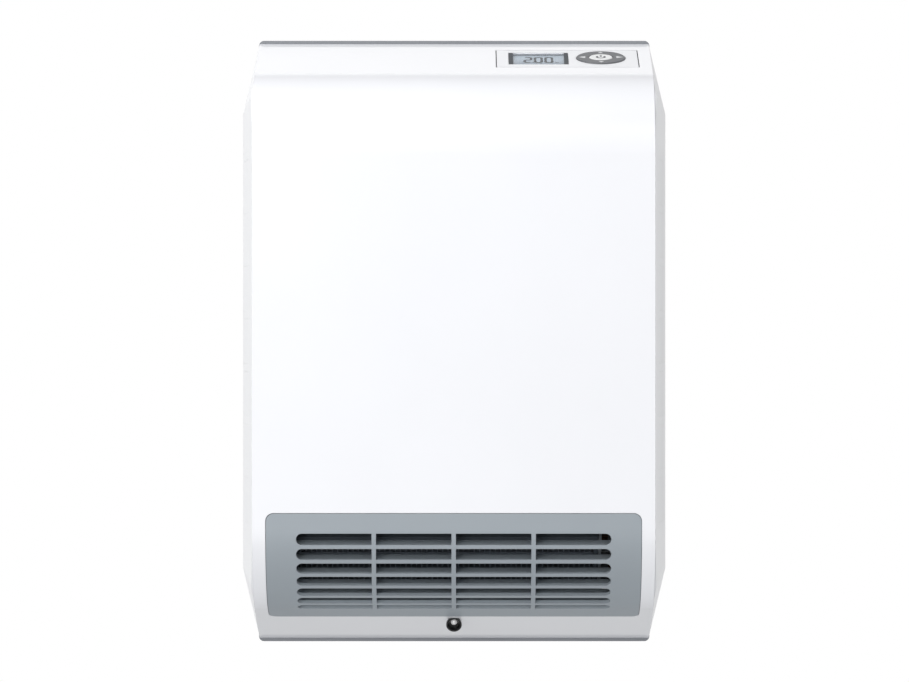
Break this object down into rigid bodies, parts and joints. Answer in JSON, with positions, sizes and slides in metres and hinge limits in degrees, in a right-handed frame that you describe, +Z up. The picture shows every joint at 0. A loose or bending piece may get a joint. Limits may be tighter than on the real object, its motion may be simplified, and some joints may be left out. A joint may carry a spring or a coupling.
{
  "type": "wall fan heater",
  "caption": "Wall-hung bathroom fan heater: white hood over a grey rear panel, curved louvred outlet, side intakes, display and keypad on top, cross-flow fan and heater inside.",
  "frame": {"origin": "on the wall plane, at the centre of the four wall holes and at mid-height of the rear panel", "axes": "+Z up; -Y out of the wall, towards the room; +X to the right as seen from the room"},
  "size_m": [0.3306, 0.134, 0.47],
  "materials": {
    "galvanised_steel": "galvanised sheet, satin",
    "grey_plastic": "fine texture, matt",
    "white_plastic": "light-stabilised ABS, semi-gloss",
    "grille_plastic": "silver-grey, satin",
    "window_clear": "clear acrylic, polished",
    "lcd": "reflective display",
    "natural_plastic": "natural, matt",
    "ring_plastic": "dark grey, satin",
    "button_plastic": "white, semi-gloss",
    "silicone": "grey silicone",
    "circuit_board": "green solder mask",
    "black_plastic": "black, satin",
    "duct_sheet": "coated sheet steel",
    "aluminium": "rolled, bare",
    "black_aluminium": "black coated",
    "bright_steel": "ground",
    "lamination": "stacked laminations",
    "copper_winding": "taped copper winding",
    "bronze": "sintered, oiled",
    "black_rubber": "black rubber",
    "mica_plastic": "heat-proof, ivory",
    "brass_tab": "bright",
    "relay_plastic": "blue housing",
    "ivory_plastic": "terminal block",
    "zinc_screw": "zinc plated"
  },
  "bodies": {
    "housing": {"wall_bracket": "galvanised_steel", "rear_panel": "grey_plastic", "cable_gland": "black_rubber", "front_cover": "white_plastic", "side_grille_left": "white_plastic", "side_grille_right": "white_plastic", "outlet_grille": "grille_plastic", "cover_screws": "zinc_screw", "control_panel": "white_plastic", "display_window": "window_clear", "lcd_module": "lcd", "keypad_frame": "natural_plastic", "button_dome": "silicone", "control_board": "circuit_board", "sensor_collar": "black_plastic", "room_sensor": "white_plastic", "air_duct": "duct_sheet", "duct_tongue": "duct_sheet", "motor_core": "lamination", "motor_coil": "copper_winding", "motor_brackets": "galvanised_steel", "motor_bushes": "bronze", "bearing_bush": "bronze", "bearing_rubber": "black_rubber", "heater_frame": "mica_plastic", "heater_core": "aluminium", "heater_terminals": "brass_tab", "thermal_cutout": "mica_plastic", "power_board": "circuit_board", "relays": "relay_plastic", "capacitor": "black_plastic", "heat_sink": "aluminium", "terminal_block": "ivory_plastic", "cable_clamp": "natural_plastic", "board_screws": "zinc_screw", "blower_screws": "zinc_screw"},
    "fan": {"fan_impeller": "black_aluminium", "fan_shaft": "bright_steel", "motor_rotor": "lamination"},
    "nav_pivot": {"nav_pivot": "natural_plastic"},
    "nav_ring": {"nav_ring": "ring_plastic"},
    "ok_button": {"ok_button": "button_plastic"}
  },
  "joints": [
    {"name": "fan_spin", "type": "hinge", "parent": "housing", "child": "fan", "pos_m": [0, -0.061, -0.11822], "axis": [1, 0, 0], "continuous": true},
    {"name": "nav_tilt_up_down", "type": "hinge", "parent": "housing", "child": "nav_pivot", "pos_m": [0.1136, -0.04272, 0.21512], "axis": [1, 0, 0], "range_deg": [-2, 2], "stiffness_Nm_per_rad": 0.3},
    {"name": "nav_tilt_left_right", "type": "hinge", "parent": "nav_pivot", "child": "nav_ring", "pos_m": [0.1136, -0.04272, 0.21512], "axis": [0, 0.9521, 0.3057], "range_deg": [-2, 2], "stiffness_Nm_per_rad": 0.3},
    {"name": "ok_press", "type": "slide", "parent": "housing", "child": "ok_button", "axis": [0, 0.3057, -0.9521], "range_m": [0, 0.0008], "stiffness_N_per_m": 400}
  ]
}
